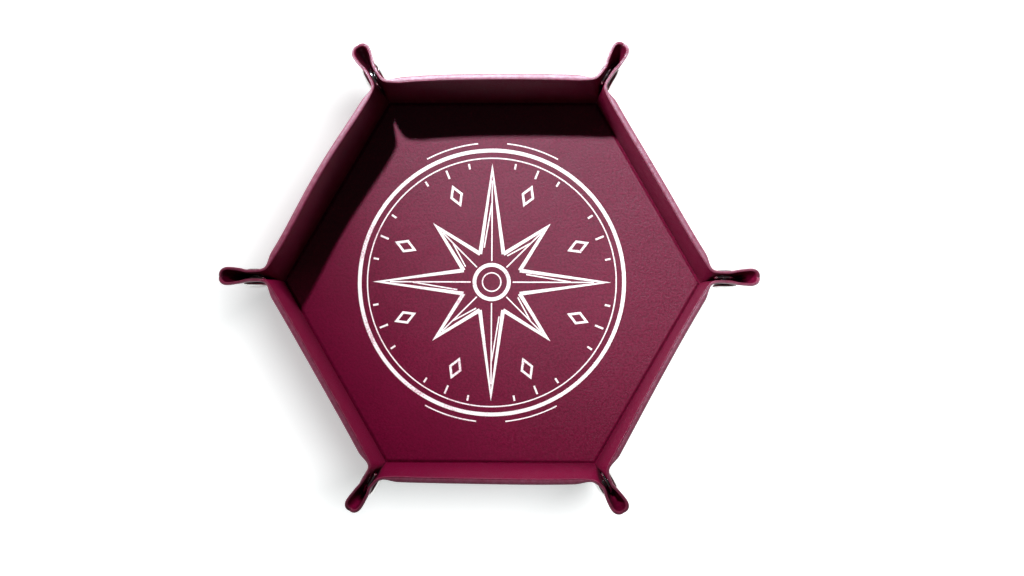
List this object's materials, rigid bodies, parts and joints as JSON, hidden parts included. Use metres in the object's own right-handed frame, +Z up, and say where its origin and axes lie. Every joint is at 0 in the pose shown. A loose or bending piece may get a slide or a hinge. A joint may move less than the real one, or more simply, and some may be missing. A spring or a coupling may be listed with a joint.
{
  "type": "folding dice tray",
  "caption": "Hexagonal fold-flat dice tray: leatherette over stiff boards, with walls held up by pinched corner gussets closed by ring snaps",
  "frame": {"origin": "centre of the underside of the floor, snapped up and standing on a table", "axes": "+Z up; +Y square to wall 1; +X through the corner between walls 2 and 3; walls and corners are numbered clockwise seen from above"},
  "size_m": [0.2506, 0.2188, 0.0414],
  "materials": {
    "lining_leatherette": "fine-grained matte burgundy leatherette, rolling side",
    "cover_leatherette": "fine-grained satin burgundy leatherette, outer side, rims and gussets",
    "greyboard": "plain stiff greyboard, hidden inside the leatherette",
    "snap_metal": "polished nickel-plated brass"
  },
  "bodies": {
    "floor": {"floor_cover": "cover_leatherette", "floor_board": "greyboard", "floor_lining": "lining_leatherette"},
    "wall_1": {"wall_pocket_1": "cover_leatherette", "wall_board_1": "greyboard"},
    "wall_2": {"wall_pocket_2": "cover_leatherette", "wall_board_2": "greyboard"},
    "wall_3": {"wall_pocket_3": "cover_leatherette", "wall_board_3": "greyboard"},
    "wall_4": {"wall_pocket_4": "cover_leatherette", "wall_board_4": "greyboard"},
    "wall_5": {"wall_pocket_5": "cover_leatherette", "wall_board_5": "greyboard"},
    "wall_6": {"wall_pocket_6": "cover_leatherette", "wall_board_6": "greyboard"},
    "gusset_1a": {"gusset_leaf_1a": "cover_leatherette", "snap_cap_1": "snap_metal", "snap_socket_1": "snap_metal"},
    "nose_1a": {"gusset_nose_1a": "cover_leatherette"},
    "gusset_1b": {"gusset_leaf_1b": "cover_leatherette", "snap_stud_1": "snap_metal"},
    "nose_1b": {"gusset_nose_1b": "cover_leatherette"},
    "gusset_2a": {"gusset_leaf_2a": "cover_leatherette", "snap_cap_2": "snap_metal", "snap_socket_2": "snap_metal"},
    "nose_2a": {"gusset_nose_2a": "cover_leatherette"},
    "gusset_2b": {"gusset_leaf_2b": "cover_leatherette", "snap_stud_2": "snap_metal"},
    "nose_2b": {"gusset_nose_2b": "cover_leatherette"},
    "gusset_3a": {"gusset_leaf_3a": "cover_leatherette", "snap_cap_3": "snap_metal", "snap_socket_3": "snap_metal"},
    "nose_3a": {"gusset_nose_3a": "cover_leatherette"},
    "gusset_3b": {"gusset_leaf_3b": "cover_leatherette", "snap_stud_3": "snap_metal"},
    "nose_3b": {"gusset_nose_3b": "cover_leatherette"},
    "gusset_4a": {"gusset_leaf_4a": "cover_leatherette", "snap_cap_4": "snap_metal", "snap_socket_4": "snap_metal"},
    "nose_4a": {"gusset_nose_4a": "cover_leatherette"},
    "gusset_4b": {"gusset_leaf_4b": "cover_leatherette", "snap_stud_4": "snap_metal"},
    "nose_4b": {"gusset_nose_4b": "cover_leatherette"},
    "gusset_5a": {"gusset_leaf_5a": "cover_leatherette", "snap_cap_5": "snap_metal", "snap_socket_5": "snap_metal"},
    "nose_5a": {"gusset_nose_5a": "cover_leatherette"},
    "gusset_5b": {"gusset_leaf_5b": "cover_leatherette", "snap_stud_5": "snap_metal"},
    "nose_5b": {"gusset_nose_5b": "cover_leatherette"},
    "gusset_6a": {"gusset_leaf_6a": "cover_leatherette", "snap_cap_6": "snap_metal", "snap_socket_6": "snap_metal"},
    "nose_6a": {"gusset_nose_6a": "cover_leatherette"},
    "gusset_6b": {"gusset_leaf_6b": "cover_leatherette", "snap_stud_6": "snap_metal"},
    "nose_6b": {"gusset_nose_6b": "cover_leatherette"}
  },
  "joints": [
    {"name": "wall_1_fold", "type": "hinge", "parent": "floor", "child": "wall_1", "pos_m": [0, 0.0866, 0.0016], "axis": [-1, 0, 0], "range_deg": [0, 78]},
    {"name": "wall_2_fold", "type": "hinge", "parent": "floor", "child": "wall_2", "pos_m": [0.075, 0.0433, 0.0016], "axis": [-0.5, 0.866, 0], "range_deg": [0, 78]},
    {"name": "wall_3_fold", "type": "hinge", "parent": "floor", "child": "wall_3", "pos_m": [0.075, -0.0433, 0.0016], "axis": [0.5, 0.866, 0], "range_deg": [0, 78]},
    {"name": "wall_4_fold", "type": "hinge", "parent": "floor", "child": "wall_4", "pos_m": [0, -0.0866, 0.0016], "axis": [1, 0, 0], "range_deg": [0, 78]},
    {"name": "wall_5_fold", "type": "hinge", "parent": "floor", "child": "wall_5", "pos_m": [-0.075, -0.0433, 0.0016], "axis": [0.5, -0.866, 0], "range_deg": [0, 78]},
    {"name": "wall_6_fold", "type": "hinge", "parent": "floor", "child": "wall_6", "pos_m": [-0.075, 0.0433, 0.0016], "axis": [-0.5, -0.866, 0], "range_deg": [0, 78]},
    {"name": "gusset_1a_spread", "type": "hinge", "parent": "wall_1", "child": "gusset_1a", "pos_m": [0.05, 0.0866, 0.0016], "axis": [0, -0.1392, -0.9903], "range_deg": [0, 60.29]},
    {"name": "nose_1a_unroll", "type": "hinge", "parent": "gusset_1a", "child": "nose_1a", "pos_m": [0.05, 0.0866, 0.0016], "axis": [0.2264, 0.5047, 0.8331], "range_deg": [0, 90.05]},
    {"name": "gusset_1b_spread", "type": "hinge", "parent": "wall_2", "child": "gusset_1b", "pos_m": [0.05, 0.0866, 0.0016], "axis": [0.1205, 0.0696, 0.9903], "range_deg": [0, 60.29]},
    {"name": "nose_1b_unroll", "type": "hinge", "parent": "gusset_1b", "child": "nose_1b", "pos_m": [0.05, 0.0866, 0.0016], "axis": [-0.3239, -0.4484, -0.8331], "range_deg": [0, 90.05]},
    {"name": "gusset_2a_spread", "type": "hinge", "parent": "wall_2", "child": "gusset_2a", "pos_m": [0.1, 0, 0.0016], "axis": [-0.1205, -0.0696, -0.9903], "range_deg": [0, 60.29]},
    {"name": "nose_2a_unroll", "type": "hinge", "parent": "gusset_2a", "child": "nose_2a", "pos_m": [0.1, 0, 0.0016], "axis": [0.5503, 0.0563, 0.8331], "range_deg": [0, 90.05]},
    {"name": "gusset_2b_spread", "type": "hinge", "parent": "wall_3", "child": "gusset_2b", "pos_m": [0.1, 0, 0.0016], "axis": [0.1205, -0.0696, 0.9903], "range_deg": [0, 60.29]},
    {"name": "nose_2b_unroll", "type": "hinge", "parent": "gusset_2b", "child": "nose_2b", "pos_m": [0.1, 0, 0.0016], "axis": [-0.5503, 0.0563, -0.8331], "range_deg": [0, 90.05]},
    {"name": "gusset_3a_spread", "type": "hinge", "parent": "wall_3", "child": "gusset_3a", "pos_m": [0.05, -0.0866, 0.0016], "axis": [-0.1205, 0.0696, -0.9903], "range_deg": [0, 60.29]},
    {"name": "nose_3a_unroll", "type": "hinge", "parent": "gusset_3a", "child": "nose_3a", "pos_m": [0.05, -0.0866, 0.0016], "axis": [0.3239, -0.4484, 0.8331], "range_deg": [0, 90.05]},
    {"name": "gusset_3b_spread", "type": "hinge", "parent": "wall_4", "child": "gusset_3b", "pos_m": [0.05, -0.0866, 0.0016], "axis": [0, -0.1392, 0.9903], "range_deg": [0, 60.29]},
    {"name": "nose_3b_unroll", "type": "hinge", "parent": "gusset_3b", "child": "nose_3b", "pos_m": [0.05, -0.0866, 0.0016], "axis": [-0.2264, 0.5047, -0.8331], "range_deg": [0, 90.05]},
    {"name": "gusset_4a_spread", "type": "hinge", "parent": "wall_4", "child": "gusset_4a", "pos_m": [-0.05, -0.0866, 0.0016], "axis": [0, 0.1392, -0.9903], "range_deg": [0, 60.29]},
    {"name": "nose_4a_unroll", "type": "hinge", "parent": "gusset_4a", "child": "nose_4a", "pos_m": [-0.05, -0.0866, 0.0016], "axis": [-0.2264, -0.5047, 0.8331], "range_deg": [0, 90.05]},
    {"name": "gusset_4b_spread", "type": "hinge", "parent": "wall_5", "child": "gusset_4b", "pos_m": [-0.05, -0.0866, 0.0016], "axis": [-0.1205, -0.0696, 0.9903], "range_deg": [0, 60.29]},
    {"name": "nose_4b_unroll", "type": "hinge", "parent": "gusset_4b", "child": "nose_4b", "pos_m": [-0.05, -0.0866, 0.0016], "axis": [0.3239, 0.4484, -0.8331], "range_deg": [0, 90.05]},
    {"name": "gusset_5a_spread", "type": "hinge", "parent": "wall_5", "child": "gusset_5a", "pos_m": [-0.1, 0, 0.0016], "axis": [0.1205, 0.0696, -0.9903], "range_deg": [0, 60.29]},
    {"name": "nose_5a_unroll", "type": "hinge", "parent": "gusset_5a", "child": "nose_5a", "pos_m": [-0.1, 0, 0.0016], "axis": [-0.5503, -0.0563, 0.8331], "range_deg": [0, 90.05]},
    {"name": "gusset_5b_spread", "type": "hinge", "parent": "wall_6", "child": "gusset_5b", "pos_m": [-0.1, 0, 0.0016], "axis": [-0.1205, 0.0696, 0.9903], "range_deg": [0, 60.29]},
    {"name": "nose_5b_unroll", "type": "hinge", "parent": "gusset_5b", "child": "nose_5b", "pos_m": [-0.1, 0, 0.0016], "axis": [0.5503, -0.0563, -0.8331], "range_deg": [0, 90.05]},
    {"name": "gusset_6a_spread", "type": "hinge", "parent": "wall_6", "child": "gusset_6a", "pos_m": [-0.05, 0.0866, 0.0016], "axis": [0.1205, -0.0696, -0.9903], "range_deg": [0, 60.29]},
    {"name": "nose_6a_unroll", "type": "hinge", "parent": "gusset_6a", "child": "nose_6a", "pos_m": [-0.05, 0.0866, 0.0016], "axis": [-0.3239, 0.4484, 0.8331], "range_deg": [0, 90.05]},
    {"name": "gusset_6b_spread", "type": "hinge", "parent": "wall_1", "child": "gusset_6b", "pos_m": [-0.05, 0.0866, 0.0016], "axis": [0, 0.1392, 0.9903], "range_deg": [0, 60.29]},
    {"name": "nose_6b_unroll", "type": "hinge", "parent": "gusset_6b", "child": "nose_6b", "pos_m": [-0.05, 0.0866, 0.0016], "axis": [0.2264, -0.5047, -0.8331], "range_deg": [0, 90.05]}
  ],
  "couplings": [
    {"joint": "wall_2_fold", "follows": "wall_1_fold", "ratio": 1},
    {"joint": "wall_3_fold", "follows": "wall_1_fold", "ratio": 1},
    {"joint": "wall_4_fold", "follows": "wall_1_fold", "ratio": 1},
    {"joint": "wall_5_fold", "follows": "wall_1_fold", "ratio": 1},
    {"joint": "wall_6_fold", "follows": "wall_1_fold", "ratio": 1},
    {"joint": "gusset_1a_spread", "follows": "wall_1_fold", "ratio": 0.77233},
    {"joint": "nose_1a_unroll", "follows": "wall_1_fold", "ratio": 1.1539},
    {"joint": "gusset_1b_spread", "follows": "wall_1_fold", "ratio": 0.77233},
    {"joint": "nose_1b_unroll", "follows": "wall_1_fold", "ratio": 1.1539},
    {"joint": "gusset_2a_spread", "follows": "wall_1_fold", "ratio": 0.77233},
    {"joint": "nose_2a_unroll", "follows": "wall_1_fold", "ratio": 1.1539},
    {"joint": "gusset_2b_spread", "follows": "wall_1_fold", "ratio": 0.77233},
    {"joint": "nose_2b_unroll", "follows": "wall_1_fold", "ratio": 1.1539},
    {"joint": "gusset_3a_spread", "follows": "wall_1_fold", "ratio": 0.77233},
    {"joint": "nose_3a_unroll", "follows": "wall_1_fold", "ratio": 1.1539},
    {"joint": "gusset_3b_spread", "follows": "wall_1_fold", "ratio": 0.77233},
    {"joint": "nose_3b_unroll", "follows": "wall_1_fold", "ratio": 1.1539},
    {"joint": "gusset_4a_spread", "follows": "wall_1_fold", "ratio": 0.77233},
    {"joint": "nose_4a_unroll", "follows": "wall_1_fold", "ratio": 1.1539},
    {"joint": "gusset_4b_spread", "follows": "wall_1_fold", "ratio": 0.77233},
    {"joint": "nose_4b_unroll", "follows": "wall_1_fold", "ratio": 1.1539},
    {"joint": "gusset_5a_spread", "follows": "wall_1_fold", "ratio": 0.77233},
    {"joint": "nose_5a_unroll", "follows": "wall_1_fold", "ratio": 1.1539},
    {"joint": "gusset_5b_spread", "follows": "wall_1_fold", "ratio": 0.77233},
    {"joint": "nose_5b_unroll", "follows": "wall_1_fold", "ratio": 1.1539},
    {"joint": "gusset_6a_spread", "follows": "wall_1_fold", "ratio": 0.77233},
    {"joint": "nose_6a_unroll", "follows": "wall_1_fold", "ratio": 1.1539},
    {"joint": "gusset_6b_spread", "follows": "wall_1_fold", "ratio": 0.77233},
    {"joint": "nose_6b_unroll", "follows": "wall_1_fold", "ratio": 1.1539}
  ]
}
